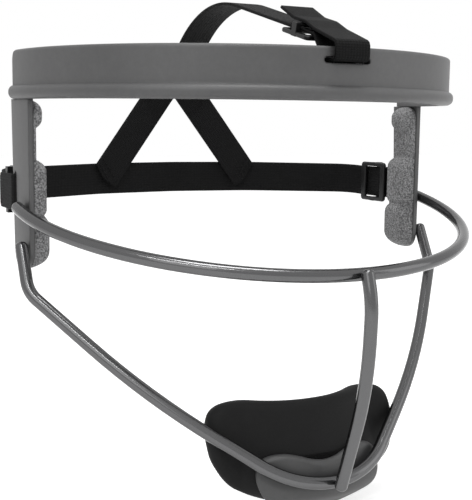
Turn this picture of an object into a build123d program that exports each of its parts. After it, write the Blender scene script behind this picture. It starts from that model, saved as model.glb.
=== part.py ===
"""Softball face guard: a moulded brow band on two temple plates, a welded wire cage with a
padded chin plate, foam pads, and webbing straps with three sliders that hold it on the head.

Millimetres. X runs to the wearer's left, -Y is the way the wearer faces, and Z is up.
Places are set out from the underside of the band's bead (z = 0) and the line across the
temples (y = 0). Each node is then moved so that the origin is the point where the middle
of the forehead rests on the forehead pad.
"""
from build123d import *
import math
import os

# Common values
overrun = 14.0
right_angle = 90.0
seat_gap = 0.1
wire_diameter = 4.5
wire_end_round = 1.6
webbing_width = 13.2
webbing_thickness = 1.1
webbing_gap = 0.3
patch_thickness = 1.0

# Brow band: half an ellipse in plan
band_half_width = 88.0
band_depth = 87.0
band_rear = 11.5
band_height = 17.3
band_wall = 3.8
band_top_round = 1.0
band_corner_round = 4.0
bead_height = 4.9
bead_standout = 1.6
bead_round_share = 0.449
band_slot_width = 17.8
band_slot_height = 2.2
band_slot_level = 13.0

# Forehead pad
forehead_pad_thickness = 8.0
forehead_pad_half_width_share = 0.682
forehead_pad_base = 1.4
forehead_pad_height = 14.2
forehead_pad_round = 2.6
forehead_groove_radius = 3.0
forehead_groove_place_share = 0.4
strap_relief_depth = 3.6
strap_relief_spare = 1.2
strap_relief_drop = 5.0
brow_patch_width = 34.0
brow_patch_height = 8.5
brow_patch_middle = 34.0

# Temple plates
plate_inset = 2.0
plate_thickness = 1.8
plate_front = -2.4
plate_rear = 15.6
plate_taper = 2.6
plate_drop = 60.5
plate_corner_round = 7.0
tongue_front = -0.8
tongue_rear = 8.6
tongue_height = 11.0
tongue_thickness = 1.5
rear_bar_width = 3.6
strap_slot_width = 2.1
strap_slot_spare = 1.0
strap_slot_round = 0.7

# Temple pads: three lobes on a thin web
temple_pad_front = -2.0
temple_pad_rear = 11.8
temple_pad_top = 0.3
temple_pad_bottom = 60.2
temple_pad_web = 0.9
temple_pad_web_round = 0.8
lobe_tops = (0.3, 20.9, 39.4)
lobe_bottoms = (11.0, 43.8, 60.2)
lobe_crowns = (3.4, 4.85, 5.7)
lobe_corners = (3.0, 4.6, 5.2)
temple_patch_thickness = 0.5
temple_patch_front = 0.0
temple_patch_rear = 9.0
temple_patch_top = 4.0
temple_patch_bottom = 57.0

# Upper wire: half an ellipse in a plane that falls towards the front
upper_wire_drop = 38.6
upper_wire_slope = 11.3
upper_wire_reach = 85.0
upper_wire_tail = 3.2

# Lower wire: corners of its bent path, from the temple to the chin
lower_wire_end = (-0.3, -50.4)
lower_wire_knee = (-8.8, -67.0)
lower_wire_side = (-41.8, -99.9)
lower_wire_side_share = 0.641
lower_wire_apex = (-81.3, -138.6)
lower_knee_radius = 12.0
lower_side_radius = 266.0
lower_apex_radius = 34.9

# Centre bar: corners of its bent path, as places ahead of the upper wire and heights
centre_bar_top = (4.25, -53.0)
centre_bar_brow = (7.55, -63.5)
centre_bar_belly = (6.25, -91.5)
centre_bar_foot = (-7.75, -129.9)
centre_brow_radius = 32.0
centre_belly_radius = 110.0

# Chin plate and chin pad, turned about an upright axis inside the jaw
chin_axis_place = -13.6
chin_plate_thickness = 2.2
chin_rim = (45.8, -91.0)
chin_heel = (56.2, -133.9)
chin_turn = (45.9, -142.4)
chin_toe = (32.5, -144.1)
chin_heel_radius = 6.5
chin_turn_radius = 12.0
chin_fold = (57.9, -140.9)
chin_fold_radius = 13.0
chin_plate_half_width = 26.6
chin_plate_crest = -117.6
chin_plate_base = -146.5
chin_plate_outline_shares = ((0.0, 0.83), (0.34, 0.93), (0.66, 0.99), (0.93, 0.9), (0.98, 0.66),
                             (0.62, 0.22), (0.0, 0.0))
chin_plate_edge_round = 0.8
chin_patch_half_width = 16.0
chin_patch_crest = -121.0
chin_patch_base = -130.0
chin_pad_thickness = 8.0
chin_pad_rim = (47.5, -98.2)
chin_pad_sweep = 98.0
chin_pad_tip_round = 3.5
chin_pad_side_round = 3.2

# Back strap: corners of its path in plan, on the left side
strap_middle = -33.4
strap_rise = 1.2
strap_rise_front = 38.0
strap_corner = (46.5, 12.0)
strap_bend_share = 0.409
strap_bend = (62.5, 60.0)
strap_back = (66.0, 40.0)
strap_tail_end = 30.0
turn_gap = 0.6
turn_round = 1.7

# Sliders: a ring on the head side of the webbing and a bar on its outer side
slider_length = 17.5
slider_height = 17.3
slider_end_bar = 3.2
slider_bar = 3.0
slider_ring_thickness = 1.6
slider_bar_thickness = 1.3
slider_round = 0.6
slider_corner_round = 1.6
side_slider_front = 17.2

# V straps
leg_corner_share = 0.4364
leg_corner_level = -26.3
leg_lean = 36.6
leg_foot = -36.0
leg_foot_width = 3.3
leg_top = 16.5
leg_gap = 0.7

# Crown strap: corners of its path in the middle plane, from the V to the loose end. From the dip
# on they are places behind the band's front.
crown_start_level = 3.4
crown_nape = (66.0, 6.4)
crown_peak = (22.6, 43.3)
crown_dip_behind = (11.5, 21.8)
crown_mouth_behind = 5.3
crown_nape_radius = 12.0
crown_peak_radius = 58.0
crown_dip_radius = 2.0
crown_loop_front = 2.2
crown_loop_top = 18.7
crown_loop_radius = 1.6
crown_over_radius = 2.5
crown_over_share = 0.55
crown_lane_behind = 17.9
crown_rise_behind = 25.5
crown_tip_behind = (33.1, 32.4)
crown_slider_behind = 11.9


def line_through(first, second, place):
    """Height at a place on the line through two points."""
    share = (place - first[0]) / (second[0] - first[0])
    return first[1] + share * (second[1] - first[1])


def offset_points(points, distance):
    """Corners of the path that runs at a distance to the left of a path."""
    vectors = [Vector(*point) for point in points]
    runs = [(b - a).normalized() for a, b in zip(vectors, vectors[1:])]
    normals = [Vector(-run.Y, run.X) for run in runs]
    shifted = [vectors[0] + normals[0] * distance]
    for corner, before, after in zip(vectors[1:-1], normals, normals[1:]):
        shifted.append(corner + (before + after) * (distance / (1 + before.dot(after))))
    shifted.append(vectors[-1] + normals[-1] * distance)
    return shifted


def offset_radii(points, radii, distance):
    """Radii of that path: smaller on the inner side of each turn."""
    vectors = [Vector(*point) for point in points]
    turns = [(b - a).cross(c - b).Z for a, b, c in zip(vectors, vectors[1:], vectors[2:])]
    return [radius - distance * math.copysign(1, turn) for radius, turn in zip(radii, turns)]


def ribbon(points, radii, thickness):
    """Face of even thickness along a path of straight runs joined by arcs."""
    sides = []
    for half in (thickness / 2, -thickness / 2):
        sides.append(FilletPolyline(*offset_points(points, half), radius=offset_radii(points, radii, half)))
    left, right = sides
    return make_face([left, right, Line(left @ 0, right @ 0), Line(left @ 1, right @ 1)])


def block(x_range, y_range, z_range):
    """Box between two corners."""
    sizes = [high - low for low, high in (x_range, y_range, z_range)]
    middles = [(high + low) / 2 for low, high in (x_range, y_range, z_range)]
    return Pos(*middles) * Box(*sizes)


def brow_ring(outer_inset, inner_inset, y_range, z_range):
    """Elliptical wall that follows the brow, between two insets from the bead."""
    outer = Ellipse(band_half_width - outer_inset, band_depth - outer_inset)
    inner = Ellipse(band_half_width - inner_inset, band_depth - inner_inset)
    low, high = z_range
    ring = Pos(0, band_rear, low) * extrude(outer - inner, high - low)
    return ring & block((-band_half_width * 2, band_half_width * 2), y_range, z_range)


def brow_front(inset, across=0.0):
    """Place on the brow's ellipse, at a distance from the middle."""
    share = across / (band_half_width - inset)
    return band_rear - (band_depth - inset) * math.sqrt(1 - share * share)


def brow_side(inset, place):
    """Half width of the brow's ellipse at a place along Y."""
    share = (band_rear - place) / (band_depth - inset)
    return (band_half_width - inset) * math.sqrt(1 - share * share)


def mirrored(shape):
    """The same piece on the wearer's right."""
    return mirror(shape, about=Plane.YZ)


# Places that follow from the sizes above
band_inside = bead_standout + band_wall
plate_inside = plate_inset + plate_thickness
pad_back = band_inside + seat_gap + patch_thickness
seat_place = brow_front(pad_back + forehead_pad_thickness)
seat_level = forehead_pad_base + forehead_pad_height / 2
strap_bar_front = plate_rear - rear_bar_width
strap_slot_front = strap_bar_front - strap_slot_width
strap_inner = brow_side(plate_inside, plate_rear) - webbing_gap - webbing_thickness / 2
strap_outer = brow_side(plate_inset, plate_rear) + webbing_gap + webbing_thickness / 2
ring_offset = webbing_thickness / 2 + webbing_gap + slider_ring_thickness / 2
bar_offset = webbing_thickness / 2 + webbing_gap + slider_bar_thickness / 2
lane_offset = bar_offset + slider_bar_thickness / 2 + webbing_gap + webbing_thickness / 2
wall_front = brow_front(bead_standout)
crown_dip = (wall_front + crown_dip_behind[0], crown_dip_behind[1])
strap_bend_place = band_half_width * strap_bend_share
leg_turn = math.degrees(math.atan2(strap_back[0] - strap_bend[0], strap_bend_place))


def brow_band():
    """Band wall with its bead, the crown strap's slot and pockets for the plates' tongues."""
    rear = (-2 * band_depth, band_rear)
    wall = brow_ring(bead_standout, band_inside, rear, (0, band_height))
    wall = fillet(wall.edges().group_by(Axis.Z)[-1].filter_by(GeomType.ELLIPSE), band_top_round)
    corner = Pos(band_rear - band_corner_round, band_height - band_corner_round)
    waste = corner * Rectangle(overrun, overrun, align=(Align.MIN, Align.MIN))
    waste -= corner * Circle(band_corner_round)
    bead = brow_ring(0, bead_standout + band_wall / 2, rear, (0, bead_height))
    front = bead.faces().sort_by(Axis.Y)[0]
    bead = fillet(front.edges().filter_by(GeomType.ELLIPSE), bead_round_share * bead_height)
    slot = Plane.XZ * Pos(0, band_slot_level) * SlotOverall(band_slot_width, band_slot_height)
    band = wall + bead - Pos(0, band_rear, 0) * extrude(slot, 2 * band_depth)
    band -= extrude(Plane.YZ * waste, 2 * band_half_width, both=True)
    ends = (tongue_front - seat_gap, tongue_rear + seat_gap)
    pocket = brow_ring(plate_inside - tongue_thickness - seat_gap, plate_inside + seat_gap, ends,
                       (-overrun, tongue_height + seat_gap))
    return band - pocket


def forehead_pad():
    """Foam pad inside the band, with two upright grooves and a relief behind the slot."""
    top = forehead_pad_base + forehead_pad_height
    inner = pad_back + forehead_pad_thickness
    ends = brow_front(inner, forehead_pad_half_width_share * band_half_width)
    pad = brow_ring(pad_back, inner, (-2 * band_depth, ends), (forehead_pad_base, top))
    pad = fillet([edge for edge in pad.edges().filter_by(GeomType.ELLIPSE)
                  if (edge @ 0.5).Y > brow_front(pad_back + forehead_pad_thickness / 2)], forehead_pad_round)
    for side in (-1, 1):
        across = side * forehead_groove_place_share * band_half_width
        place = brow_front(inner, across)
        groove = Cylinder(forehead_groove_radius, 2 * band_height)
        pad -= Pos(across, place, seat_level) * groove
    relief_half = webbing_width / 2 + strap_relief_spare
    relief = block((-relief_half, relief_half),
                   (brow_front(pad_back) - overrun, brow_front(pad_back) + strap_relief_depth),
                   (top - strap_relief_drop, top + overrun))
    return pad - relief


def brow_hook_patches():
    """Hook-and-loop patches between the band and the forehead pad, one each side of the slot."""
    low = seat_level - brow_patch_height / 2
    ring = brow_ring(band_inside + seat_gap / 2, band_inside + seat_gap / 2 + patch_thickness,
                     (-2 * band_depth, band_rear), (low, low + brow_patch_height))
    patches = []
    for side in (-1, 1):
        middle = side * brow_patch_middle
        patches.append(ring & block((middle - brow_patch_width / 2, middle + brow_patch_width / 2),
                                    (-2 * band_depth, 0), (low, low + brow_patch_height)))
    return Compound(children=patches)


def temple_plate():
    """Upright plate with the strap's slot and a tongue that a shoulder sets back."""
    outline = make_face(Polyline((plate_front, 0), (plate_rear, 0), (plate_rear - plate_taper, -plate_drop),
                                 (plate_front, -plate_drop), close=True))
    outline = fillet(outline.vertices().group_by(Axis.Y)[0], plate_corner_round)
    tongue_middle = (tongue_front + tongue_rear) / 2
    outline += Pos(tongue_middle, tongue_height / 2) * Rectangle(tongue_rear - tongue_front, tongue_height)
    slot_middle = (strap_slot_front + strap_bar_front) / 2
    slot_height = webbing_width + 2 * strap_slot_spare
    slot = RectangleRounded(strap_slot_width, slot_height, strap_slot_round)
    outline -= Pos(slot_middle, strap_middle) * slot
    sheet = brow_ring(plate_inset, plate_inside, (plate_front, plate_rear), (-plate_drop, tongue_height))
    shoulder = brow_ring(0, plate_inside - tongue_thickness, (-band_depth, band_rear + overrun),
                         (0, 2 * tongue_height))
    return (extrude(Plane.YZ * outline, band_half_width) & sheet) - shoulder


def temple_pad():
    """Foam pad of three lobes, with a relief at the back for the webbing."""
    back = brow_side(plate_inside + seat_gap + temple_patch_thickness, temple_patch_front) - seat_gap
    height = temple_pad_bottom - temple_pad_top
    middle = -(temple_pad_bottom + temple_pad_top) / 2
    profile = Pos(0, middle) * RectangleRounded(2 * temple_pad_web, height, temple_pad_web_round)
    for top, bottom, crown, corner in zip(lobe_tops, lobe_bottoms, lobe_crowns, lobe_corners):
        lobe = RectangleRounded(2 * crown, bottom - top, corner)
        profile += Pos(0, -(top + bottom) / 2) * lobe
    profile &= Pos(-overrun, middle) * Rectangle(2 * overrun, 2 * height)
    pad = extrude(Plane.XZ * profile, -(temple_pad_rear - temple_pad_front))
    return Pos(back, temple_pad_front, 0) * pad


def temple_hook_patch():
    """Hook-and-loop patch between a temple plate and its pad."""
    outer = plate_inside + seat_gap / 2
    heights = (-temple_patch_bottom, -temple_patch_top)
    patch = brow_ring(outer, outer + temple_patch_thickness, (temple_patch_front, temple_patch_rear), heights)
    return patch & block((0, band_half_width), (temple_patch_front, temple_patch_rear), heights)


def round_wire(path):
    """Coated wire along a path, with softened ends."""
    start = Plane(origin=path @ 0, z_dir=path % 0)
    wire = sweep(start * Circle(wire_diameter / 2), path)
    middles = [path @ 0, path @ 1]
    ends = [edge for edge in wire.edges()
            if min((edge.center(CenterOf.MASS) - middle).length for middle in middles) < seat_gap]
    return fillet(ends, wire_end_round)


def upper_wire():
    """Hoop below the eyes; its ends lie along the temple plates."""
    half = brow_side(plate_inset, upper_wire_tail) + wire_diameter / 2 + seat_gap / 2
    normal = Vector(0, 0, 1).rotate(Axis.X, upper_wire_slope)
    plane = Plane(origin=(0, 0, -upper_wire_drop), x_dir=(1, 0, 0), z_dir=normal)
    arc = Edge.make_ellipse(half, upper_wire_reach, start_angle=180, end_angle=360)
    tails = [Line((-half, upper_wire_tail), (-half, 0)), Line((half, 0), (half, upper_wire_tail))]
    return round_wire(plane * Wire([tails[0], arc, tails[1]]))


def lower_wire():
    """Wire from the temple plates down to the chin."""
    half = brow_side(plate_inset, 0) + wire_diameter / 2 + seat_gap / 2
    side = [(half, *lower_wire_end), (half, *lower_wire_knee),
            (half * lower_wire_side_share, *lower_wire_side)]
    points = side + [(0, *lower_wire_apex)] + [(-x, y, z) for x, y, z in reversed(side)]
    radii = [lower_knee_radius, lower_side_radius, lower_apex_radius, lower_side_radius, lower_knee_radius]
    return round_wire(FilletPolyline(*points, radius=radii))


def centre_bar():
    """Single wire in front of both hoops."""
    corners = (centre_bar_top, centre_bar_brow, centre_bar_belly, centre_bar_foot)
    radii = [centre_brow_radius, centre_belly_radius]
    front = -upper_wire_reach * math.cos(math.radians(upper_wire_slope))
    return round_wire(FilletPolyline(*[(0, front - ahead, z) for ahead, z in corners], radius=radii))


def chin_section(corners, radii, depth, thickness, turn=0.0):
    """Section of a shell at a depth inside the chin plate's outside, at a turn from the middle."""
    inward = depth + thickness / 2
    points = [(p.X, p.Y) for p in offset_points(corners, -inward)]
    outward = Vector(0, -1, 0).rotate(Axis.Z, turn)
    plane = Plane(origin=(0, chin_axis_place, 0), x_dir=outward, z_dir=outward.cross(Vector(0, 0, 1)))
    return plane, ribbon(points, [radius - inward for radius in radii], thickness)


def chin_shell(depth, thickness, outline):
    """Shell that follows the chin plate, trimmed to a front outline."""
    plane, section = chin_section([chin_rim, chin_heel, chin_turn, chin_toe],
                                  [chin_heel_radius, chin_turn_radius], depth, thickness, right_angle)
    shell = revolve(plane * section, Axis((0, chin_axis_place, 0), (0, 0, 1)))
    return shell & extrude(Plane.XZ * outline, 2 * band_depth)


def outline_from_shares(shares, half_width, crest, base):
    """Closed front outline through points given as shares of its size."""
    right = [(x * half_width, base + z * (crest - base)) for x, z in shares]
    left = [(-x, z) for x, z in reversed(right[1:-1])]
    return make_face(Spline(*right, *left, periodic=True))


def chin_plate():
    """Plate behind the lower wire at the chin."""
    outline = outline_from_shares(chin_plate_outline_shares, chin_plate_half_width,
                                  chin_plate_crest, chin_plate_base)
    plate = chin_shell(0, chin_plate_thickness, outline)
    rims = [edge for face in plate.faces().filter_by(GeomType.EXTRUSION) for edge in face.edges()]
    return fillet(rims, chin_plate_edge_round)


def chin_hook_patch():
    """Hook-and-loop patch between the chin plate and the chin pad."""
    outline = Pos(0, (chin_patch_crest + chin_patch_base) / 2) * Rectangle(
        2 * chin_patch_half_width, chin_patch_crest - chin_patch_base)
    return chin_shell(chin_plate_thickness + seat_gap / 2, patch_thickness, outline)


def chin_pad():
    """Foam cup for the chin, turned about the jaw's axis."""
    depth = chin_plate_thickness + seat_gap + patch_thickness
    plane, section = chin_section([chin_pad_rim, chin_fold, chin_toe], [chin_fold_radius + depth],
                                  depth, chin_pad_thickness, -chin_pad_sweep / 2)
    tips = section.vertices().sort_by(Axis.Y)[-2:] + section.vertices().sort_by(Axis.X)[:2]
    section = fillet(tips, chin_pad_tip_round)
    pad = revolve(plane * section, Axis((0, chin_axis_place, 0), (0, 0, 1)), chin_pad_sweep)
    sides = pad.faces().filter_by(GeomType.PLANE).sort_by(SortBy.AREA)[-2:]
    return fillet([edge for face in sides for edge in face.edges()], chin_pad_side_round)


def back_strap():
    """Webbing round the back of the head, through both sliders and round both rear bars."""
    turn_place = strap_bar_front - turn_gap - webbing_thickness / 2
    side = [(strap_outer, strap_tail_end), (strap_outer, turn_place), (strap_inner, turn_place),
            (strap_inner, strap_corner[0]), (strap_bend_place, strap_bend[0])]
    radii = [turn_round, turn_round, strap_corner[1], strap_bend[1]]
    points = side + [(0, strap_back[0])] + [(-x, y) for x, y in reversed(side)]
    face = ribbon(points, radii + [strap_back[1]] + radii[::-1], webbing_thickness)
    half = webbing_width / 2
    rear = strap_back[0] + overrun
    rise = strap_rise * (rear - strap_rise_front) / (strap_back[0] - strap_rise_front)
    edges = ((0, -half), (strap_rise_front, -half), (rear, rise - half),
             (rear, rise + half), (strap_rise_front, half), (0, half))
    slab = make_face(Polyline(*[(y, strap_middle + z) for y, z in edges], close=True))
    slab = extrude(Plane.YZ * slab, band_half_width + overrun, both=True)
    tall = Pos(0, 0, strap_middle - webbing_width) * extrude(face, 2 * webbing_width)
    return tall & slab


def slider():
    """Slider along +X on webbing whose mid-surface is z = 0: ring below, bar above."""
    outer = RectangleRounded(slider_length, slider_height, slider_corner_round)
    rail = (slider_height - webbing_width) / 2 - webbing_gap
    window_width = slider_length - 2 * slider_end_bar
    window = Rectangle(window_width, slider_height - 2 * rail)
    ring = extrude(outer - window, slider_ring_thickness)
    ring = Pos(0, 0, -ring_offset - slider_ring_thickness / 2) * ring
    ring = fillet(ring.edges().filter_by(Axis.Y), slider_round)
    top = bar_offset + slider_bar_thickness / 2
    bar = Pos(0, 0, bar_offset) * Box(slider_bar, slider_height, slider_bar_thickness)
    bar = fillet(bar.edges().filter_by(Axis.Y), slider_round)
    low = -ring_offset - slider_ring_thickness / 2
    for side in (-1, 1):
        place = side * (slider_height - rail) / 2
        bar += Pos(0, place, (top + low) / 2) * Box(slider_bar, rail, top - low)
    return ring + bar


def side_slider():
    """Slider on the back strap behind the left temple plate."""
    middle = side_slider_front + slider_length / 2
    return Plane(origin=(strap_inner, middle, strap_middle), x_dir=(0, 1, 0), z_dir=(1, 0, 0)) * slider()


def crown_line(place):
    """Height of the crown strap's straight front run."""
    return line_through(crown_peak, crown_dip, place)


def crown_slider():
    """Slider on the crown strap behind the brow band."""
    run = (Vector(0, *crown_peak) - Vector(0, *crown_dip)).normalized()
    start = wall_front + crown_slider_behind
    middle = Vector(0, start, crown_line(start)) + run * (slider_length / 2)
    return Plane(origin=middle, x_dir=run, z_dir=Vector(1, 0, 0).cross(run)) * slider()


def crown_strap():
    """Webbing from the V over the crown, through the band's slot and back to its loose end."""
    run = (Vector(*crown_peak) - Vector(*crown_dip)).normalized()
    lane = Vector(-run.Y, run.X) * lane_offset
    front = wall_front - crown_loop_front
    over = Vector(*crown_dip) + lane * crown_over_share
    level, rise = [Vector(wall_front + behind, crown_line(wall_front + behind)) + lane
                   for behind in (crown_lane_behind, crown_rise_behind)]
    tip = (wall_front + crown_tip_behind[0], crown_tip_behind[1])
    points = [(crown_nape[0], crown_start_level - webbing_width), crown_nape, crown_peak, crown_dip,
              (wall_front + crown_mouth_behind, band_slot_level), (front, band_slot_level),
              (front, crown_loop_top), (over.X, over.Y), (level.X, level.Y), (rise.X, rise.Y), tip]
    radii = [crown_nape_radius, crown_peak_radius, crown_dip_radius, crown_dip_radius, crown_loop_radius,
             crown_loop_radius, crown_over_radius, crown_over_radius, crown_over_radius]
    strap = extrude(Plane.YZ * ribbon(points, radii, webbing_thickness), webbing_width / 2, both=True)
    return strap & block((-webbing_width, webbing_width), (-2 * band_depth, 2 * band_depth),
                         (crown_start_level, 2 * band_depth))


def v_strap():
    """Left leg of the V, from the back strap's inner face up under the crown strap."""
    inward = webbing_thickness + leg_gap
    path = [(crown_nape[0], -plate_drop), crown_nape, crown_peak]
    corners = [(p.X, p.Y) for p in offset_points(path, inward)]
    face = ribbon(corners, [crown_nape_radius - inward], webbing_thickness)
    sheet = extrude(Plane.YZ * face, band_half_width, both=True)
    slope = math.tan(math.radians(leg_lean))
    width = webbing_width / math.cos(math.radians(leg_lean))
    outer_x, outer_z = band_half_width * leg_corner_share, leg_corner_level
    top_x = outer_x - slope * (leg_top - outer_z)
    foot_x = outer_x - width + slope * (outer_z - leg_foot)
    outline = Polyline((foot_x, leg_foot), (foot_x + leg_foot_width, leg_foot), (outer_x, outer_z),
                       (top_x, leg_top), (top_x - width, leg_top), close=True)
    leg = sheet & extrude(Plane.XZ * make_face(outline), 2 * band_depth, both=True)
    pivot = Pos(0, strap_back[0], 0)
    leg = pivot * Rot(0, 0, -leg_turn) * pivot.inverse() * leg
    return leg & block((seat_gap, band_half_width), (-band_depth, band_depth), (-plate_drop, band_depth))


def place(shape):
    """Moves a piece from the temple line to the frame whose origin is the forehead's seat."""
    return Pos(0, -seat_place, -seat_level) * shape


def nodes():
    """Every separate piece under its name."""
    plate = temple_plate()
    pad = temple_pad()
    patch = temple_hook_patch()
    slider_piece = side_slider()
    leg = v_strap()
    return {
        "brow_band": brow_band(),
        "forehead_pad": forehead_pad(),
        "brow_hook_patches": brow_hook_patches(),
        "temple_plate_left": plate,
        "temple_plate_right": mirrored(plate),
        "temple_pad_left": pad,
        "temple_pad_right": mirrored(pad),
        "temple_hook_patch_left": patch,
        "temple_hook_patch_right": mirrored(patch),
        "upper_wire": upper_wire(),
        "lower_wire": lower_wire(),
        "centre_bar": centre_bar(),
        "chin_plate": chin_plate(),
        "chin_hook_patch": chin_hook_patch(),
        "chin_pad": chin_pad(),
        "back_strap": back_strap(),
        "side_slider_left": slider_piece,
        "side_slider_right": mirrored(slider_piece),
        "v_strap_left": leg,
        "v_strap_right": mirrored(leg),
        "crown_strap": crown_strap(),
        "crown_slider": crown_slider(),
    }


if __name__ == "__main__":
    os.makedirs("parts", exist_ok=True)
    for name, shape in nodes().items():
        export_step(place(shape), f"parts/{name}.step")
    print(f"seat at y {seat_place:.2f}, z {seat_level:.2f} from the temple line and the bead")
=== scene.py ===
# %% [markdown]
# # A softball face guard, dressed in Blender
#
# The guard has a moulded brow band on two side plates, a cage of coated steel wire, foam pads and
# black webbing with three sliders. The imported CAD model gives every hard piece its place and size.
# Blender adds what CAD leaves plain: the finish of each surface, the foam's swelling, the weave and
# the stitching of the straps.

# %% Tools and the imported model
import math

import bmesh
import bpy
from mathutils import Matrix, Vector


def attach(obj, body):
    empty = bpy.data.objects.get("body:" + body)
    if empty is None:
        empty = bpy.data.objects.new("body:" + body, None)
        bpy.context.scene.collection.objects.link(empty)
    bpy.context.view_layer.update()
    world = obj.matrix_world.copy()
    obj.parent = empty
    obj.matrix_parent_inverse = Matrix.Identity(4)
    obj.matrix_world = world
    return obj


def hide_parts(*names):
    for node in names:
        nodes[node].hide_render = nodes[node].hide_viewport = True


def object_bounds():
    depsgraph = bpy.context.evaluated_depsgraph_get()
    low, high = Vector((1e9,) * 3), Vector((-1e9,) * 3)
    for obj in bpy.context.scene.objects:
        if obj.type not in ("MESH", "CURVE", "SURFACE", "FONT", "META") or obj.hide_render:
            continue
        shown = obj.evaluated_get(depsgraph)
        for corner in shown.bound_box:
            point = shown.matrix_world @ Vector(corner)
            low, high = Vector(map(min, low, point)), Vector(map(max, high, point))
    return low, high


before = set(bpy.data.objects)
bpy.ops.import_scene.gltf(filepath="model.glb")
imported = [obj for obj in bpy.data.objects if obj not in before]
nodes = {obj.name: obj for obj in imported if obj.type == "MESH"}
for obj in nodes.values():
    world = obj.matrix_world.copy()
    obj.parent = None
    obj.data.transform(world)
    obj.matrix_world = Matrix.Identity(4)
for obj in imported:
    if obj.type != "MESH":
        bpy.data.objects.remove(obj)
cad_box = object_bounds()
mm = 0.001
bpy.context.scene.view_settings.view_transform = "Standard"
print("pieces in the packed model:", len(nodes))

# %% [markdown]
# ## Where things are
#
# The origin is the point that the middle of the forehead touches. The guard is easier to describe
# from the line across the temples and the underside of the band, so one small function turns
# millimetres measured from there into Blender's metres. Sizes that soft pieces share with the
# hard ones are written down once, here.

# %% From the temple line to the scene
seat_place = -61.0
seat_level = 8.5


def at(x, y, z):
    """A point measured in millimetres from the temple line, in the scene's metres."""
    return Vector((x, y - seat_place, z - seat_level)) * mm


band_half_width = 88.0
band_depth = 87.0
band_rear = 11.5
webbing_width = 13.2
webbing_thickness = 1.1
print("temple line is", at(0, 0, 0)[:], "from the forehead")

# %% [markdown]
# ## A small kit for materials
#
# Every finish below is a node tree on one Principled shader. Writing nodes by hand is wordy, so one
# helper adds a node, sets its inputs and links what is given as another node's socket. The others
# name the few things that the finishes ask for again and again: a noise, a ramp, a tint, a bump.

# %% Material helpers
def node_maker(tree):
    """A function that adds a node to this tree, with its settings, inputs and links."""
    def add(kind, inputs=(), **settings):
        node = tree.nodes.new(kind)
        for key, value in settings.items():
            setattr(node, key, value)
        for key, value in dict(inputs).items():
            if isinstance(value, bpy.types.NodeSocket):
                tree.links.new(value, node.inputs[key])
            else:
                node.inputs[key].default_value = value
        return node

    return add


def finish_named(name):
    """A new material, its shader, a function that adds nodes and one that links to the shader."""
    material = bpy.data.materials.new(name)
    material.use_nodes = True
    tree = material.node_tree
    shader = tree.nodes["Principled BSDF"]

    def drive(socket_name, socket):
        tree.links.new(socket, shader.inputs[socket_name])

    return material, shader, node_maker(tree), drive


def grey(level):
    """A colour with the same red, green and blue."""
    return level, level, level


# A mix node keeps the sockets of its colour mode at these places among those of its other modes.
mix_share, mix_first, mix_second, mix_result = 0, 6, 7, 2


def tinted(add, colour, shade):
    """One colour multiplied by another."""
    mix = add("ShaderNodeMix", {mix_share: 1.0, mix_first: colour, mix_second: shade},
              data_type="RGBA", blend_type="MULTIPLY")
    return mix.outputs[mix_result]


def ramp_between(add, factor, low, high, start=0.0, end=1.0):
    """Colours from low to high as factor goes from start to end."""
    ramp = add("ShaderNodeValToRGB", {"Fac": factor})
    ramp.color_ramp.elements[0].position = start
    ramp.color_ramp.elements[1].position = end
    ramp.color_ramp.elements[0].color = (*low, 1)
    ramp.color_ramp.elements[1].color = (*high, 1)
    return ramp.outputs["Color"]


def value_between(add, factor, low, high):
    """A value from low to high as factor goes from 0 to 1."""
    spread = add("ShaderNodeMapRange", {"Value": factor, "To Min": low, "To Max": high})
    return spread.outputs["Result"]


def noise(add, place, scale, detail, roughness=0.5):
    """Soft blotches at a place: how small they are, how fine and how rough."""
    inputs = {"Vector": place, "Scale": scale, "Detail": detail, "Roughness": roughness}
    return add("ShaderNodeTexNoise", inputs).outputs["Fac"]


def bumped(add, height, strength, distance, **more):
    """A normal that a height tilts, with the height's size in metres."""
    inputs = {"Strength": strength, "Distance": distance, "Height": height, **more}
    return add("ShaderNodeBump", inputs).outputs["Normal"]


def wear(node_names, material):
    """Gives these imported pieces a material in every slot."""
    for name in node_names:
        slots = nodes[name].data.materials
        if not slots:
            slots.append(material)
        for index in range(len(slots)):
            slots[index] = material


print("a middle grey is written", grey(0.5))

# %% [markdown]
# ## Moulded grey plastic
#
# The band, the side plates and the chin plate are moulded in one grey plastic; the chin plate
# gets a darker copy of it, as painted shade for its shadowed, downward-facing face.
# Up close such a moulding has a fine spark-eroded grain, tiny differences in tone, and edges that
# handling has rubbed a little smoother. A photograph of the grain would not scale, so noises make
# it: a fine one for the grain's bump and a broad one for the tone and the sheen. Creases get
# painted shade: ambient occlusion darkens the base colour there.

# %% Moulded plastic
blue_share = 1.01


def moulded_plastic(name, low, high):
    """Plastic whose grey wanders from low to high."""
    material, shader, add, drive = finish_named(name)
    place = add("ShaderNodeTexCoord").outputs["Object"]
    broad = noise(add, place, 38.0, 4.0)
    grain = noise(add, place, 2600.0, 3.0, 0.6)
    scuffs = noise(add, place, 420.0, 6.0, 0.75)
    tone = ramp_between(add, broad, (low, low, low * blue_share), (high, high, high * blue_share),
                        0.3, 0.7)
    speck = ramp_between(add, scuffs, grey(0.93), grey(1.04), 0.35, 0.65)
    edge = add("ShaderNodeBevel", {"Radius": 0.0012}, samples=4)
    # painted shade: ambient occlusion darkens the base colour in creases and where parts meet
    crease = add("ShaderNodeAmbientOcclusion", {"Distance": 0.0035}, samples=8)
    crease_painted_shade = ramp_between(add, crease.outputs["AO"], grey(0.52), grey(1.0), 0.35, 0.95)
    drive("Base Color", tinted(add, tinted(add, tone, speck), crease_painted_shade))
    drive("Roughness", value_between(add, broad, 0.40, 0.52))
    drive("Normal", bumped(add, grain, 0.16, 0.00006, Normal=edge.outputs["Normal"]))
    shader.inputs["Specular IOR Level"].default_value = 0.45
    return material


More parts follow.
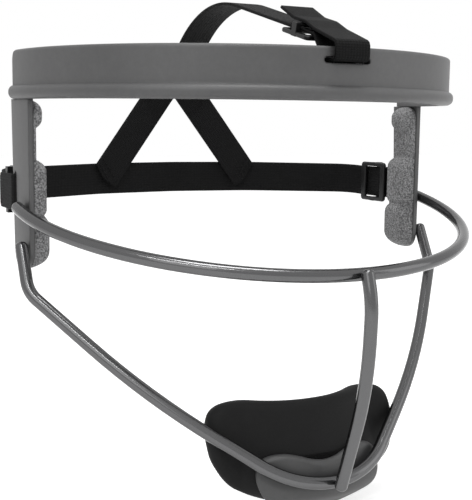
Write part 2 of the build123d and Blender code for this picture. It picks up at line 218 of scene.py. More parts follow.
shell_pieces = ["brow_band", "temple_plate_left", "temple_plate_right"]
shell_finish = moulded_plastic("moulded_grey_plastic", 0.090, 0.106)
# painted shade: the chin plate's copy of the same plastic is painted darker for its shadowed face
chin_shaded_finish = moulded_plastic("moulded_grey_plastic_painted_shade", 0.060, 0.072)
wear(shell_pieces, shell_finish)
print("moulded plastic on", len(shell_pieces), "pieces")

# %% [markdown]
# ## Coated wire
#
# The cage is steel wire under a smooth grey coating with a little metal flake in it. A long, soft
# streak runs along each wire, which is how a half metallic surface shows a softbox; a clear coat
# over a flaky base gives it. The darker sides are painted shade: the base colour darkens towards
# the wire's edges as they turn away from the camera. A faint orange peel keeps the streak from
# looking drawn.

# %% Coating on the wires
def wire_coating():
    material, shader, add, drive = finish_named("coated_cage_wire")
    place = add("ShaderNodeTexCoord").outputs["Object"]
    flakes = add("ShaderNodeTexVoronoi", {"Vector": place, "Scale": 5200.0})
    peel = noise(add, place, 900.0, 2.0)
    drift = noise(add, place, 60.0, 3.0)
    colour = ramp_between(add, flakes.outputs["Distance"], (0.090, 0.090, 0.092),
                          (0.068, 0.068, 0.070), 0.0, 0.8)
    # painted shade: the base colour darkens towards the wire's edges, where they turn away from the
    # camera
    facing = add("ShaderNodeLayerWeight", {"Blend": 0.45})
    edge_painted_shade = ramp_between(add, facing.outputs["Facing"], grey(1.0), (0.16, 0.16, 0.165), 0.20, 0.80)
    drive("Base Color", tinted(add, colour, edge_painted_shade))
    drive("Roughness", value_between(add, drift, 0.20, 0.25))
    drive("Normal", bumped(add, peel, 0.05, 0.00003))
    shader.inputs["Metallic"].default_value = 0.85
    shader.inputs["Specular Tint"].default_value = (0.35, 0.35, 0.36, 1.0)
    shader.inputs["Coat Weight"].default_value = 0.9
    shader.inputs["Coat IOR"].default_value = 1.55
    shader.inputs["Coat Roughness"].default_value = 0.11
    return material


wire_pieces = ["upper_wire", "lower_wire", "centre_bar"]
wear(wire_pieces, wire_coating())
print("coating on", len(wire_pieces), "wires")

# %% [markdown]
# ## Black plastic and hook tape
#
# The sliders are small black mouldings with a soft gloss. The hook tape hides behind the pads and
# shows only as a thin dark line, but it still gets the short, dull pile that such tape has.

# %% Sliders and hook tape
def slider_plastic():
    material, shader, add, drive = finish_named("black_slider_plastic")
    place = add("ShaderNodeTexCoord").outputs["Object"]
    grain = noise(add, place, 3000.0, 2.0)
    drift = noise(add, place, 200.0, 4.0)
    edge = add("ShaderNodeBevel", {"Radius": 0.0003}, samples=4)
    drive("Base Color", ramp_between(add, drift, (0.0025, 0.0025, 0.0026),
                                     (0.0055, 0.0055, 0.0060)))
    drive("Roughness", value_between(add, drift, 0.34, 0.48))
    drive("Normal", bumped(add, grain, 0.12, 0.00005, Normal=edge.outputs["Normal"]))
    shader.inputs["Specular IOR Level"].default_value = 0.3
    return material


def hook_pile():
    material, shader, add, drive = finish_named("black_hook_tape")
    place = add("ShaderNodeTexCoord").outputs["Object"]
    pile = add("ShaderNodeTexVoronoi", {"Vector": place, "Scale": 1500.0}).outputs["Distance"]
    drive("Base Color", ramp_between(add, pile, (0.0060, 0.0060, 0.0062), grey(0.0020)))
    drive("Normal", bumped(add, pile, 0.6, 0.0003))
    shader.inputs["Roughness"].default_value = 0.9
    shader.inputs["Specular IOR Level"].default_value = 0.1
    return material


slider_pieces = ["crown_slider", "side_slider_left", "side_slider_right"]
tape_pieces = ["brow_hook_patches", "temple_hook_patch_left", "temple_hook_patch_right",
               "chin_hook_patch"]
wear(slider_pieces, slider_plastic())
wear(tape_pieces, hook_pile())
print(len(slider_pieces), "sliders and", len(tape_pieces), "pieces of tape are dressed")

# %% [markdown]
# ## Foam
#
# Two foams are used. The pads at the temples and the brow are grey foam with a coarse, sparkling
# skin of pale and dark specks under a millimetre across. The chin cup is smooth black foam. Both
# are matt, so a little sheen at grazing angles does more than gloss.

# %% Foam finishes
def speckled_foam():
    material, shader, add, drive = finish_named("grey_speckled_foam")
    place = add("ShaderNodeTexCoord").outputs["Object"]
    specks = noise(add, place, 1550.0, 2.0, 0.6)
    cells = add("ShaderNodeTexVoronoi", {"Vector": place, "Scale": 1300.0})
    patches = noise(add, place, 110.0, 3.0)
    light = ramp_between(add, specks, (0.085, 0.085, 0.087), (0.370, 0.370, 0.375), 0.37, 0.64)
    shade = ramp_between(add, patches, grey(0.82), grey(1.08), 0.3, 0.7)
    height = add("ShaderNodeMath", {0: cells.outputs["Distance"], 1: specks}, operation="ADD")
    drive("Base Color", tinted(add, light, shade))
    drive("Normal", bumped(add, height.outputs["Value"], 0.7, 0.00028))
    shader.inputs["Roughness"].default_value = 0.86
    shader.inputs["Sheen Weight"].default_value = 0.15
    shader.inputs["Sheen Roughness"].default_value = 0.5
    return material


def black_foam():
    material, shader, add, drive = finish_named("black_cup_foam")
    place = add("ShaderNodeTexCoord").outputs["Object"]
    skin = noise(add, place, 1800.0, 4.0, 0.65)
    cloud = noise(add, place, 70.0, 3.0)
    drive("Base Color", ramp_between(add, cloud, (0.0030, 0.0030, 0.0031),
                                     (0.0048, 0.0048, 0.0050), 0.3, 0.7))
    drive("Normal", bumped(add, skin, 0.35, 0.00012))
    drive("Roughness", value_between(add, skin, 0.62, 0.80))
    shader.inputs["Specular IOR Level"].default_value = 0.22
    shader.inputs["Sheen Weight"].default_value = 0.03
    shader.inputs["Sheen Roughness"].default_value = 0.4
    return material


foam_finish = speckled_foam()
cup_finish = black_foam()
print("foam finishes:", foam_finish.name, cup_finish.name)

# %% [markdown]
# ## Woven straps
#
# The webbing is a flat black weave about half an inch wide. The weave's ribs run along the strap
# and each rib is a row of small humps, so the bump needs to know which way the strap runs. Each
# strap therefore carries its own map in millimetres: across it and along it. The pattern itself is
# worked out from that map, with no picture.

# %% Weave finish
chart_name = "across_and_along"
rib_pitch = 1.1
row_pitch = 0.75


def woven_black():
    material, shader, add, drive = finish_named("black_woven_webbing")
    chart = add("ShaderNodeUVMap", uv_map=chart_name).outputs["UV"]
    split = add("ShaderNodeSeparateXYZ", {"Vector": chart})

    def maths(operation, first, second=0.0):
        return add("ShaderNodeMath", {0: first, 1: second}, operation=operation).outputs["Value"]

    rib = maths("MULTIPLY", split.outputs["X"], math.pi / rib_pitch)
    row = maths("MULTIPLY", split.outputs["Y"], math.pi / row_pitch)
    side_step = maths("MULTIPLY", maths("SIGN", maths("SINE", rib)), math.pi / 2)
    hump = maths("ABSOLUTE", maths("SINE", maths("ADD", row, side_step)))
    groove = maths("ABSOLUTE", maths("SINE", rib))
    height = maths("MULTIPLY", maths("POWER", groove, 0.5), maths("POWER", hump, 0.6))
    fuzz = noise(add, chart, 3.0, 5.0)
    worn = noise(add, chart, 0.12, 3.0)
    thread = ramp_between(add, height, (0.0009, 0.0009, 0.0010), (0.0058, 0.0058, 0.0060))
    cloud = ramp_between(add, worn, grey(0.75), grey(1.15), 0.3, 0.7)
    drive("Base Color", tinted(add, thread, cloud))
    drive("Roughness", value_between(add, fuzz, 0.55, 0.8))
    drive("Normal", bumped(add, height, 0.8, 0.00022))
    shader.inputs["Specular IOR Level"].default_value = 0.12
    return material


def sewing_thread():
    material, shader, add, drive = finish_named("black_sewing_thread")
    place = add("ShaderNodeTexCoord").outputs["Object"]
    wave = add("ShaderNodeTexWave", {"Vector": place, "Scale": 1400.0, "Distortion": 1.0})
    twist = wave.outputs["Fac"]
    drive("Base Color", ramp_between(add, twist, grey(0.0010), (0.0045, 0.0045, 0.0046)))
    drive("Normal", bumped(add, twist, 0.4, 0.0001))
    shader.inputs["Roughness"].default_value = 0.6
    shader.inputs["Specular IOR Level"].default_value = 0.12
    return material


weave_finish = woven_black()
thread_finish = sewing_thread()
print("weave ribs are", rib_pitch, "mm apart")

# %% [markdown]
# ## Runs with rounded corners
#
# A strap follows straight runs and rounded turns. A curve object could carry it, but its turns
# would have no stated radius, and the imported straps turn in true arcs. `bent_run` turns a few
# corners and their radii into closely spaced points, and `reader` finds the point at any length.

# %% Runs with rounded corners
arc_spacing = 1.2
least_length = 1e-9
end_margin = 1e-6


def bent_run(corners, radii):
    """Points along straight runs joined by arcs, in two dimensions and millimetres."""
    points = [Vector(corners[0])]
    for before, corner, after, radius in zip(corners, corners[1:], corners[2:], radii):
        before, corner, after = Vector(before), Vector(corner), Vector(after)
        arrive, leave = (corner - before).normalized(), (after - corner).normalized()
        turn = math.atan2(arrive.x * leave.y - arrive.y * leave.x, arrive.dot(leave))
        reach = radius * math.tan(abs(turn) / 2)
        side = Vector((-arrive.y, arrive.x)) * math.copysign(1, turn)
        centre = corner - arrive * reach + side * radius
        spoke = -side * radius
        steps = max(4, int(abs(turn) * radius / arc_spacing) + 3)
        for step in range(steps + 1):
            angle = turn * step / steps
            turned = Vector((spoke.x * math.cos(angle) - spoke.y * math.sin(angle),
                             spoke.x * math.sin(angle) + spoke.y * math.cos(angle)))
            points.append(centre + turned)
    points.append(Vector(corners[-1]))
    return points


def reader(points):
    """The run's length, and a rule from a length along it to a point and its left-hand normal."""
    lengths = [0.0]
    for first, second in zip(points, points[1:]):
        lengths.append(lengths[-1] + (second - first).length)

    def read(along):
        along = min(max(along, 0.0), lengths[-1] - end_margin)
        low, high = 0, len(lengths) - 1
        while high - low > 1:
            middle = (low + high) // 2
            low, high = (middle, high) if lengths[middle] <= along else (low, middle)
        share = (along - lengths[low]) / max(lengths[high] - lengths[low], least_length)
        run = (points[high] - points[low]).normalized()
        return points[low].lerp(points[high], share), Vector((-run.y, run.x))

    return lengths[-1], read


def beside(corners, distance):
    """Corners of the run that stays at a distance to the left of another."""
    runs = [(Vector(b) - Vector(a)).normalized() for a, b in zip(corners, corners[1:])]
    sides = [Vector((-run.y, run.x)) for run in runs]
    shifted = [Vector(corners[0]) + sides[0] * distance]
    for corner, first, second in zip(corners[1:-1], sides, sides[1:]):
        shifted.append(Vector(corner) + (first + second) * (distance / (1 + first.dot(second))))
    return shifted + [Vector(corners[-1]) + sides[-1] * distance]


test_length, _ = reader(bent_run([(0, 0), (10, 0), (10, 10)], [2.0]))
print("a 10 by 10 mm corner with a 2 mm turn is", round(test_length, 2), "mm long")

# %% [markdown]
# ## A ribbon laid by a rule
#
# Webbing is a flat strip with soft woven edges. A bevelled curve could draw one, but not a strip
# whose ends are cut at a slant or that leans while it bends. So `lay_strap` builds a closed ribbon
# on any rule that says where a point across, along and above the strap's middle belongs, and
# writes the weave's map in millimetres as it goes.

# %% A closed ribbon
strap_spacing = 0.9
across_shares = (-0.955, -0.75, -0.5, -0.25, 0.0, 0.25, 0.5, 0.75, 0.955)
selvedge_inset = 0.08
selvedge_share = 0.62


def new_piece(name, mesh, material):
    """Turns a finished bmesh into an object with a material."""
    data = bpy.data.meshes.new(name)
    mesh.to_mesh(data)
    mesh.free()
    data.materials.append(material)
    piece = bpy.data.objects.new(name, data)
    bpy.context.scene.collection.objects.link(piece)
    return piece


def lay_strap(name, place, start, end):
    """A strap whose point (across, along, above) in millimetres lies where place says."""
    half, thick = webbing_width / 2, webbing_thickness / 2
    shoulder, drop = half - selvedge_inset, thick * selvedge_share
    flat = [half * share for share in across_shares]
    outline = [(u, thick) for u in flat] + [(shoulder, drop), (half, 0.0), (shoulder, -drop)]
    outline += [(u, -thick) for u in reversed(flat)]
    outline += [(-shoulder, -drop), (-half, 0.0), (-shoulder, drop)]
    span = max(end(u) - start(u) for u, _ in outline)
    rows = max(2, int(span / strap_spacing))
    mesh = bmesh.new()
    chart = mesh.loops.layers.uv.new(chart_name)
    grid = []
    for row in range(rows + 1):
        ring = []
        for u, d in outline:
            v = start(u) + (end(u) - start(u)) * row / rows
            ring.append((mesh.verts.new(place(u, v, d)), (u, v)))
        grid.append(ring)
    count = len(outline)
    for row in range(rows):
        for index in range(count):
            after = (index + 1) % count
            corners = [grid[row][index], grid[row][after],
                       grid[row + 1][after], grid[row + 1][index]]
            face = mesh.faces.new([vertex for vertex, _ in corners])
            face.smooth = True
            for loop, (_, spot) in zip(face.loops, corners):
                loop[chart].uv = spot
    for ring in (list(reversed(grid[0])), grid[-1]):
        cap = mesh.faces.new([vertex for vertex, _ in ring])
        for loop, (_, spot) in zip(cap.loops, ring):
            loop[chart].uv = spot
    bmesh.ops.recalc_face_normals(mesh, faces=mesh.faces)
    return new_piece(name, mesh, weave_finish)


print("straps are", webbing_width, "mm wide and", webbing_thickness, "mm thick")

# %% [markdown]
# ## The back strap
#
# One length of webbing goes round the back of the head. At each side it passes through the slider,
# turns round the rear bar of the temple plate and comes back through the slider. Its path in plan
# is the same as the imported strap's, so it stays clear of the plates and the sliders.

# %% Back strap
plate_inset = 2.0
plate_inside = 3.8
plate_rear = 15.6
strap_middle = -33.4
strap_rise = 1.2
strap_rise_front = 38.0
strap_back = 66.0
strap_offset = 0.85
strap_turn_place = 10.85
strap_end_place = 28.6
strap_corner_round = 2.4


def band_side(inset, y):
    """Half the width of the band's outline at a place along Y."""
    share = (band_rear - y) / (band_depth - inset)
    return (band_half_width - inset) * math.sqrt(1 - share * share)


strap_inner = band_side(plate_inside, plate_rear) - strap_offset
strap_outer = band_side(plate_inset, plate_rear) + strap_offset
half_path = [(strap_outer, strap_end_place), (strap_outer, strap_turn_place),
             (strap_inner, strap_turn_place), (strap_inner, 46.5), (35.99, 62.5)]
back_corners = half_path + [(0.0, strap_back)] + [(-x, y) for x, y in reversed(half_path)]
back_radii = [1.7, 1.7, 12.0, 60.0, 40.0, 60.0, 12.0, 1.7, 1.7]
back_length, back_read = reader(bent_run(back_corners, back_radii))


def back_place(u, v, d):
    """Where a point of the back strap lies; the strap rises a little towards the nape."""
    spot, side = back_read(v)
    rise = strap_rise * max(0.0, spot.y - strap_rise_front) / (strap_back - strap_rise_front)
    return at(spot.x + side.x * d, spot.y + side.y * d, strap_middle + rise + u)


def rounded_off(u):
    """How far a strap's end is cut back at a place across it, for corners that heat has rounded."""
    over = max(abs(u) - (webbing_width / 2 - strap_corner_round), 0.0)
    return strap_corner_round - math.sqrt(max(strap_corner_round ** 2 - over * over, 0.0))


back_strap = lay_strap("back_strap_webbing", back_place, rounded_off,
                       lambda u: back_length - rounded_off(u))
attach(back_strap, "guard")
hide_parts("back_strap")
print("back strap is", round(back_length), "mm of webbing")

# %% [markdown]
# ## The V behind the head
#
# Two legs rise from the back strap and meet under the crown strap. Each leg is a slanted strip on
# the same curved sheet that carries the crown strap, one strap's thickness nearer the head. The
# lower end is cut to a corner, so its start differs from one side of the strip to the other.

# %% The two legs
nape_run = [(64.2, -60.5), (64.2, 5.568), (21.434, 41.929)]
nape_radius = 10.2
leg_lean = math.radians(36.6)
leg_turn = math.radians(5.555)
leg_corner = (38.4, -26.3)
leg_toe = (32.46, -36.0)
leg_top = 16.5
leg_gap = 0.15
halvings = 30
sides = (("left", 1), ("right", -1))
nape_length, nape_read = reader(bent_run(nape_run, [nape_radius]))
leg_middle = (leg_corner[0] - webbing_width / 2 * math.cos(leg_lean),
              leg_corner[1] - webbing_width / 2 * math.sin(leg_lean))


def nape_at(z):
    """The sheet's place and its outward side at a height."""
    low, high = 0.0, nape_length
    for _ in range(halvings):
        middle = (low + high) / 2
        low, high = (middle, high) if nape_read(middle)[0].y < z else (low, middle)
    spot, side = nape_read(low)
    return spot.x, -side


def leg_front(u, v):
    """Where a point of the leg lies seen from the front."""
    return (leg_middle[0] + u * math.cos(leg_lean) - v * math.sin(leg_lean),
            leg_middle[1] + u * math.sin(leg_lean) + v * math.cos(leg_lean))


def leg_bent(u, v, d):
    """The same point on the curved sheet, turned to follow the back strap."""
    x, z = leg_front(u, v)
    y, out = nape_at(z)
    y, z = y + out.x * d, z + out.y * d
    dx, dy = x, y - strap_back
    return (dx * math.cos(leg_turn) + dy * math.sin(leg_turn),
            strap_back - dx * math.sin(leg_turn) + dy * math.cos(leg_turn), z)


def leg_start(u):
    """The leg's lower end: level at the toe, then cut to the corner."""
    flat = (leg_toe[1] - leg_middle[1] - u * math.sin(leg_lean)) / math.cos(leg_lean)
    cut_x, cut_z = leg_corner[0] - leg_toe[0], leg_corner[1] - leg_toe[1]
    x, z = leg_middle[0] + u * math.cos(leg_lean), leg_middle[1] + u * math.sin(leg_lean)
    cut = (((x - leg_toe[0]) * cut_z - (z - leg_toe[1]) * cut_x)
           / (math.sin(leg_lean) * cut_z + math.cos(leg_lean) * cut_x))
    return max(flat, cut)


def leg_end(u):
    """The leg's upper end, where it meets the other leg in the middle plane."""
    low, high = 0.0, (leg_top - leg_middle[1] - u * math.sin(leg_lean)) / math.cos(leg_lean)
    for _ in range(halvings):
        middle = (low + high) / 2
        low, high = (middle, high) if leg_bent(u, middle, 0.0)[0] > leg_gap else (low, middle)
    return low


def leg_rule(sign):
    """The rule that lays the left leg for a sign of 1 and the right one for -1."""
    def leg_place(u, v, d):
        x, y, z = leg_bent(u, v, d)
        return at(sign * x, y, z)

    return leg_place


for side_name, sign in sides:
    leg = lay_strap(f"v_strap_{side_name}_webbing", leg_rule(sign), leg_start, leg_end)
    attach(leg, "guard")
    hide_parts(f"v_strap_{side_name}")
print("two legs up from the back strap")

# %% [markdown]
# ## Stitches at the foot of the V
#
# Each leg is sewn to the back strap with two short rows of thin black thread. A stitch is a small
# rounded bead, drawn out along its row and half sunk in the weave, so its place is read from the
# same rule that lays the leg. Modelled stitches catch light as a bump in the material would not.

# %% Stitches
stitch_length = 1.5
stitch_girth = 0.3
stitch_pitch = 2.0
stitch_rows = (1.8, 4.6)
stitch_margin = 1.6
next_across = 0.4
further_out = 1.5


def sewn_row(mesh, place, row, face):
    """A row of stitches across a strap, at a distance from its cut end."""
    count = int((webbing_width - 2 * stitch_margin) / stitch_pitch) + 1
    for index in range(count):
        u = (index - (count - 1) / 2) * stitch_pitch
        v = leg_start(u) + row
        middle = place(u, v, face)
        beyond = place(u + next_across, leg_start(u + next_across) + row, face)
        run = (beyond - middle).normalized()
        away = (place(u, v, face * further_out) - middle).normalized()
        side = run.cross(away).normalized()
        axes = Matrix((run * stitch_length / 2 * mm, side * stitch_girth * mm,
                       away * stitch_girth * mm))
        matrix = Matrix.Translation(middle) @ axes.transposed().to_4x4()
        bmesh.ops.create_uvsphere(mesh, u_segments=10, v_segments=8, radius=1.0, matrix=matrix)
    return count


for side_name, sign in sides:
    mesh = bmesh.new()
    made = sum(sewn_row(mesh, leg_rule(sign), row, -webbing_thickness / 2) for row in stitch_rows)
    for face in mesh.faces:
        face.smooth = True
    stitches = new_piece(f"v_strap_{side_name}_stitches", mesh, thread_finish)
    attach(stitches, "guard")
print("stitches in each leg:", made)

# %% [markdown]
# ## The crown strap
#
# It starts at the V, goes over the crown, dips through the band's slot and loops back over the
# band's top edge through the slider, where its loose end springs up. All of that is one run in the
# middle plane, so a list of corners (back and up) and their radii is enough.

# %% Crown strap
crown_corners = [(66.0, 3.4), (66.0, 6.4), (22.6, 43.3), (-62.4, 21.8), (-68.6, 13.0),
                 (-76.1, 13.0), (-76.1, 18.7), (-62.805, 23.400), (-56.736, 26.327),
                 (-49.136, 28.250), (-40.8, 32.4)]
crown_radii = [5.5, 58.0, 2.0, 2.0, 1.6, 1.6, 2.5, 2.5, 2.5]
crown_length, crown_read = reader(bent_run(crown_corners, crown_radii))


def crown_place(u, v, d):
    spot, side = crown_read(v)
    return at(u, spot.x + side.x * d, spot.y + side.y * d)


crown_strap = lay_strap("crown_strap_webbing", crown_place, lambda u: 0.0, lambda u: crown_length)
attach(crown_strap, "guard")
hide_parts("crown_strap")
print("crown strap is", round(crown_length), "mm of webbing")

# %% [markdown]
# ## Temple pads
#
# Each pad is a moulded foam strip with three swollen lobes on a thin web. A moulded lobe rises
# steeply at its rim and then crowns gently, so its height follows the distance to its own rounded
# outline. The lobes and the web blend where they meet, and the skin gets the slight unevenness
# that foam has.

# %% Pads at the temples
pad_front, pad_rear = -2.0, 11.8
pad_top, pad_bottom = -0.3, -60.2
pad_back = 82.69
pad_lift = 0.25
pad_corner = 5.6
# Each lobe has a top, a bottom, a crown height and a corner radius.
pad_lobes = ((-0.3, -11.0, 3.3, 4.6), (-20.9, -43.4, 4.7, 5.0), (-39.8, -60.2, 5.6, 6.2))
web_height, web_roll = 0.7, 1.0
lobe_roll, end_roll, foot_roll = 1.5, 4.4, 7.0
crown_share, crown_roll = 0.14, 6.5
valley_width = 0.5
lip_clear, lip_start, lip_roll = 0.06, 0.4, 1.1
weld_distance = 0.00002
pad_columns, pad_rows = 30, 90


def inside_rounded(y, z, low, high, corner):
    """Distance from a point to the outline of a rounded rectangle, positive inside."""
    half_y, half_z = (high[0] - low[0]) / 2, (high[1] - low[1]) / 2
    gap_y = abs(y - (high[0] + low[0]) / 2) - (half_y - corner)
    gap_z = abs(z - (high[1] + low[1]) / 2) - (half_z - corner)
    outside = math.hypot(max(gap_y, 0), max(gap_z, 0))
    return corner - outside - min(max(gap_y, gap_z), 0)


def swelling(distance, roll):
    """Share of full height at a distance inside a rim that rolls over a given width."""
    share = min(max(distance / roll, 0.0), 1.0)
    return math.sqrt(1 - (1 - share) ** 2)


def blended(first, second, width):
    """The higher of two heights, with the valley between them filled to a soft curve."""
    share = max(width - abs(first - second), 0.0) / width
    return max(first, second) + share * share * width / 4


def pad_inside(y, z):
    """Distance from a point to the rounded outline of a temple pad, positive inside."""
    return inside_rounded(y, z, (pad_front, pad_bottom), (pad_rear, pad_top), pad_corner)


def temple_height(y, z):
    """How far the pad's face stands off its back."""
    height = web_height * swelling(pad_inside(y, z), web_roll)
    for top, bottom, crown, corner in pad_lobes:
        inside = inside_rounded(y, z, (pad_front, bottom), (pad_rear, top), corner)
        if inside > 0:
            lower_roll = foot_roll if bottom == pad_bottom else end_roll
            ends = swelling(top - z, end_roll) * swelling(z - bottom, lower_roll)
            doming = 1 - crown_share + crown_share * swelling(inside, crown_roll)
            height = blended(height, crown * swelling(inside, lobe_roll) * ends * doming,
                             valley_width)
    return height


def smooth_piece(name, mesh, material):
    """Turns all faces outwards, shades them smoothly and makes the object."""
    bmesh.ops.recalc_face_normals(mesh, faces=mesh.faces)
    for face in mesh.faces:
        face.smooth = True
    return new_piece(name, mesh, material)


def cushion(name, columns, rows, front, back, material):
    """A closed skin over two height fields that meet at their rims."""
    mesh = bmesh.new()
    grids = []
    for face in (front, back):
        grids.append([[mesh.verts.new(face(i / columns, j / rows)) for j in range(rows + 1)]
                      for i in range(columns + 1)])
    for grid in grids:
        for i in range(columns):
            for j in range(rows):
                mesh.faces.new((grid[i][j], grid[i + 1][j], grid[i + 1][j + 1], grid[i][j + 1]))
    bmesh.ops.remove_doubles(mesh, verts=mesh.verts, dist=weld_distance)
    rim = [edge for edge in mesh.edges if len(edge.link_faces) == 1]
    if rim:
        bmesh.ops.bridge_loops(mesh, edges=rim)
    return smooth_piece(name, mesh, material)


def half_eased(share):
    """A share from 0 to 1 that goes slower near both ends, for more points at the rims."""
    return (1 - math.cos(share * math.pi)) / 2 * 0.5 + share * 0.5


def pad_spot(share_y, share_z):
    """A place on the pad; the grid's corners are drawn in to the rounded outline."""
    y = pad_front + (pad_rear - pad_front) * half_eased(share_y)
    z = pad_bottom + (pad_top - pad_bottom) * half_eased(share_z)
    middle_y, middle_z = (pad_front + pad_rear) / 2, (pad_bottom + pad_top) / 2
    over_y = abs(y - middle_y) - ((pad_rear - pad_front) / 2 - pad_corner)
    over_z = abs(z - middle_z) - ((pad_top - pad_bottom) / 2 - pad_corner)
    if over_y > 0 and over_z > 0:
        shrink = 1 - max(over_y, over_z) / math.hypot(over_y, over_z)
        y -= math.copysign(over_y * shrink, y - middle_y)
        z -= math.copysign(over_z * shrink, z - middle_z)
    return y, z


for side_name, sign in sides:
    def pad_face(share_y, share_z, sign=sign):
        """The side that the head touches."""
        y, z = pad_spot(share_y, share_z)
        return at(sign * (pad_back - pad_lift - temple_height(y, z)), y, z)

    def pad_flat(share_y, share_z, sign=sign):
        """The back, with a lip at its rim that reaches the plate."""
        y, z = pad_spot(share_y, share_z)
        reach = band_side(plate_inside, y) - lip_clear - pad_back
        lip = reach * (1 - swelling(pad_inside(y, z) - lip_start, lip_roll))
        return at(sign * (pad_back + lip), y, z)

    pad = cushion(f"temple_pad_{side_name}_foam", pad_columns, pad_rows, pad_face, pad_flat,
                  foam_finish)
    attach(pad, "guard")
    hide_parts(f"temple_pad_{side_name}")
print("temple pads:", len(pad.data.polygons), "faces each")

# %% [markdown]
# ## Forehead pad
#
# The pad inside the band follows the brow. Two upright grooves let it bend, and a shallow relief
# behind the slot gives the crown strap room. Like the temple pads it is two height fields, here
# wrapped round the band's ellipse, because a sheet bent by a modifier would stretch at the grooves.

# %% Pad at the forehead
brow_back_inset = 6.5
brow_thick = 8.0
brow_low, brow_high = 1.4, 15.6
brow_corner = 4.5
brow_roll, brow_doming, brow_doming_roll = 3.6, 0.1, 7.0
brow_turn = math.radians(58.0)
brow_lift = 0.1
groove_place, groove_depth, groove_width, groove_end_roll = 35.2, 3.0, 2.4, 2.0
relief_depth, relief_half_width, relief_level = 3.6, 8.0, 11.2
relief_side_slope, relief_top_slope = 2, 3
brow_columns, brow_rows = 150, 22


def brow_at(inset, turn, z):
    """A point at an inset from the bead, at a turn from the middle of the brow."""
    return at((band_half_width - inset) * math.sin(turn),
              band_rear - (band_depth - inset) * math.cos(turn), z)


def brow_spot(share_turn, share_z):
    ease = (1 - math.cos(share_z * math.pi)) / 2
    return brow_turn * (2 * share_turn - 1), brow_low + (brow_high - brow_low) * ease


def brow_height(turn, z):
    """The foam's thickness: a rolled rim, a slight dome and two grooves."""
    radius = band_half_width - brow_back_inset
    along, half = radius * turn, radius * brow_turn
    inside = inside_rounded(along, z, (-half, brow_low), (half, brow_high), brow_corner)
    height = brow_thick * ((1 - brow_doming) * swelling(inside, brow_roll)
                           + brow_doming * swelling(inside, brow_doming_roll))
    groove = abs(abs(along) - radius * math.asin(groove_place / radius))
    dent = groove_depth * math.exp(-(groove / groove_width) ** 2)
    return height - dent * swelling(inside, groove_end_roll)


def brow_face(share_turn, share_z):
    turn, z = brow_spot(share_turn, share_z)
    return brow_at(brow_back_inset + brow_lift + brow_height(turn, z), turn, z)


def brow_rear(share_turn, share_z):
    """The back, hollowed softly where the crown strap dips behind the slot."""
    turn, z = brow_spot(share_turn, share_z)
    across = abs(turn) * (band_half_width - brow_back_inset)
    relief = (relief_depth / (1 + math.exp((across - relief_half_width) * relief_side_slope))
              / (1 + math.exp((relief_level - z) * relief_top_slope)))
    return brow_at(brow_back_inset + min(relief, brow_lift + brow_height(turn, z)), turn, z)


forehead_pad = cushion("forehead_pad_foam", brow_columns, brow_rows, brow_face, brow_rear,
                       foam_finish)
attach(forehead_pad, "guard")
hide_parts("forehead_pad")
print("forehead pad:", len(forehead_pad.data.polygons), "faces")

# %% [markdown]
# ## How the chin cup is bent
#
# The cup is one piece of soft black foam. Its middle is bent round the jaw behind the chin plate,
# and past the plate's ends the wings spring back and stand out almost straight. A bend modifier has
# one angle for the whole piece, so the bend is written as a rule instead: a length round the cup, a
# length down its section and a depth from the plate's outside give a point.

# %% How the cup is bent
jaw_axis = -13.6
cup_depth = 3.3
cup_thick = 8.0
cup_section = [(47.5, -98.2), (57.9, -140.9), (32.5, -144.1)]
cup_radius = 16.3
jaw_turn = math.radians(31.0)
wing_turn = math.radians(3.0)
wing_bend = 9.0


def cup_run(depth):
    """The section's run at a depth inside the chin plate's outside."""
    return reader(bent_run(beside(cup_section, -depth), [cup_radius - depth]))


cup_middle_depth = cup_depth + cup_thick / 2
cup_length, cup_read = cup_run(cup_middle_depth)
cup_runs = {}


def cup_plan(radius, around):
    """Place and heading of the bent cup in plan, at a length round it from the middle."""
    turn = min(abs(around) / radius, jaw_turn)
    x, y = radius * math.sin(turn), -radius * math.cos(turn)
    beyond = abs(around) - radius * turn
    back = min(beyond / wing_bend, jaw_turn - wing_turn)
    heading = turn - back
    straight = beyond - wing_bend * back
    x += wing_bend * (math.sin(turn) - math.sin(heading)) + straight * math.cos(heading)
    y += wing_bend * (math.cos(heading) - math.cos(turn)) + straight * math.sin(heading)
    return math.copysign(x, around), y, math.copysign(heading, around)


def cup_at(around, along, depth):
    key = round(depth, 2)
    if key not in cup_runs:
        cup_runs[key] = cup_run(key)
    length, read = cup_runs[key]
    spot, _ = read(along / cup_length * length)
    middle, _ = cup_read(along)
    x, y, heading = cup_plan(middle.x, around)
    out = spot.x - middle.x
    return at(x + out * math.sin(heading), jaw_axis + y - out * math.cos(heading), spot.y)


print("the cup's section is", round(cup_length), "mm long")

# %% [markdown]
# ## The chin cup's skin
#
# Seen from the front the cup's outline is a kidney with a shelf below it for the chin. The outline
# is written in the two lengths above. Rings shrink it to its middle, and the thickness rises over
# the last few millimetres from the rim, as a moulded foam edge does. The same rings draw the chin
# plate later, so they are a function.

# %% Chin cup of foam
# The right half of the outline: a length round the cup and a length down its section.
cup_outline = [(0, 3.6), (9, 3.6), (18, 3.5), (26, 3.3), (31, 3.6), (35, 4.7), (37.9, 7.2),
               (39.4, 11.6), (39.5, 15.0), (39.1, 19.1), (38.5, 22.4), (37.2, 25.3), (35.0, 28.4),
               (31.3, 31.7), (25.6, 34.8), (20.0, 38.6), (15.5, 43.8), (11.5, 49.0), (6.0, 52.2),
               (0, 53.0)]
cup_middle = (0.0, 23.0)
cup_rim_points, cup_rings = 150, 28
cup_roll, cup_doming, cup_doming_roll = 3.8, 0.1, 18.0


